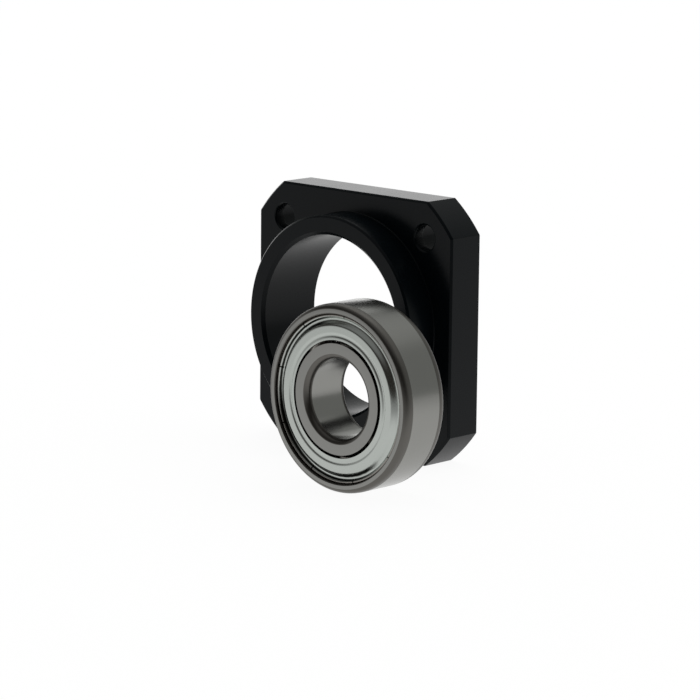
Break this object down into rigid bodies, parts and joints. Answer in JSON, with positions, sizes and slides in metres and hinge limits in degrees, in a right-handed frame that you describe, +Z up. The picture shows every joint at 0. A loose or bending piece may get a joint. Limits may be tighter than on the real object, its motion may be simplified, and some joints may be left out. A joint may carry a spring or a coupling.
{
  "type": "ball screw end support",
  "caption": "Square flanged housing with a round spigot and bearing bore for the floating end of a ball screw, with its shielded ball bearing standing in front.",
  "frame": {"origin": "on the housing bore's axis, in the plane where the spigot meets the flange's front face", "axes": "+Y along the bore axis from the spigot to the flange's back, +Z up, +X to the right seen from the spigot's side"},
  "size_m": [0.088, 0.0486, 0.068],
  "materials": {
    "black_oxide": "satin black oxide on machined steel",
    "ring_steel": "ground",
    "shield_steel": "pressed sheet, bright",
    "cage_steel": "pressed strip",
    "ball_steel": "polished"
  },
  "bodies": {
    "housing": {"housing": "black_oxide", "outer_ring": "ring_steel", "front_shield": "shield_steel", "back_shield": "shield_steel"},
    "inner_ring": {"inner_ring": "ring_steel"},
    "cage": {"cage_front_half": "cage_steel", "cage_back_half": "cage_steel", "cage_rivets": "cage_steel"},
    "ball_1": {"ball_1": "ball_steel"},
    "ball_2": {"ball_2": "ball_steel"},
    "ball_3": {"ball_3": "ball_steel"},
    "ball_4": {"ball_4": "ball_steel"},
    "ball_5": {"ball_5": "ball_steel"},
    "ball_6": {"ball_6": "ball_steel"},
    "ball_7": {"ball_7": "ball_steel"},
    "ball_8": {"ball_8": "ball_steel"}
  },
  "joints": [
    {"name": "inner_ring_spin", "type": "hinge", "parent": "housing", "child": "inner_ring", "pos_m": [0.0305, -0.0306, -0.0105], "axis": [0, -1, 0], "continuous": true},
    {"name": "cage_spin", "type": "hinge", "parent": "housing", "child": "cage", "pos_m": [0.0305, -0.0306, -0.0105], "axis": [0, -1, 0], "continuous": true},
    {"name": "ball_1_spin", "type": "hinge", "parent": "cage", "child": "ball_1", "pos_m": [0.04725, -0.0306, -0.0105], "axis": [0, -1, 0], "continuous": true},
    {"name": "ball_2_spin", "type": "hinge", "parent": "cage", "child": "ball_2", "pos_m": [0.04234, -0.0306, 0.00134], "axis": [0, -1, 0], "continuous": true},
    {"name": "ball_3_spin", "type": "hinge", "parent": "cage", "child": "ball_3", "pos_m": [0.0305, -0.0306, 0.00625], "axis": [0, -1, 0], "continuous": true},
    {"name": "ball_4_spin", "type": "hinge", "parent": "cage", "child": "ball_4", "pos_m": [0.01866, -0.0306, 0.00134], "axis": [0, -1, 0], "continuous": true},
    {"name": "ball_5_spin", "type": "hinge", "parent": "cage", "child": "ball_5", "pos_m": [0.01375, -0.0306, -0.0105], "axis": [0, -1, 0], "continuous": true},
    {"name": "ball_6_spin", "type": "hinge", "parent": "cage", "child": "ball_6", "pos_m": [0.01866, -0.0306, -0.02234], "axis": [0, -1, 0], "continuous": true},
    {"name": "ball_7_spin", "type": "hinge", "parent": "cage", "child": "ball_7", "pos_m": [0.0305, -0.0306, -0.02725], "axis": [0, -1, 0], "continuous": true},
    {"name": "ball_8_spin", "type": "hinge", "parent": "cage", "child": "ball_8", "pos_m": [0.04234, -0.0306, -0.02234], "axis": [0, -1, 0], "continuous": true}
  ],
  "couplings": [
    {"joint": "cage_spin", "follows": "inner_ring_spin", "ratio": 0.38152},
    {"joint": "ball_1_spin", "follows": "inner_ring_spin", "ratio": -1.9916},
    {"joint": "ball_2_spin", "follows": "inner_ring_spin", "ratio": -1.9916},
    {"joint": "ball_3_spin", "follows": "inner_ring_spin", "ratio": -1.9916},
    {"joint": "ball_4_spin", "follows": "inner_ring_spin", "ratio": -1.9916},
    {"joint": "ball_5_spin", "follows": "inner_ring_spin", "ratio": -1.9916},
    {"joint": "ball_6_spin", "follows": "inner_ring_spin", "ratio": -1.9916},
    {"joint": "ball_7_spin", "follows": "inner_ring_spin", "ratio": -1.9916},
    {"joint": "ball_8_spin", "follows": "inner_ring_spin", "ratio": -1.9916}
  ]
}
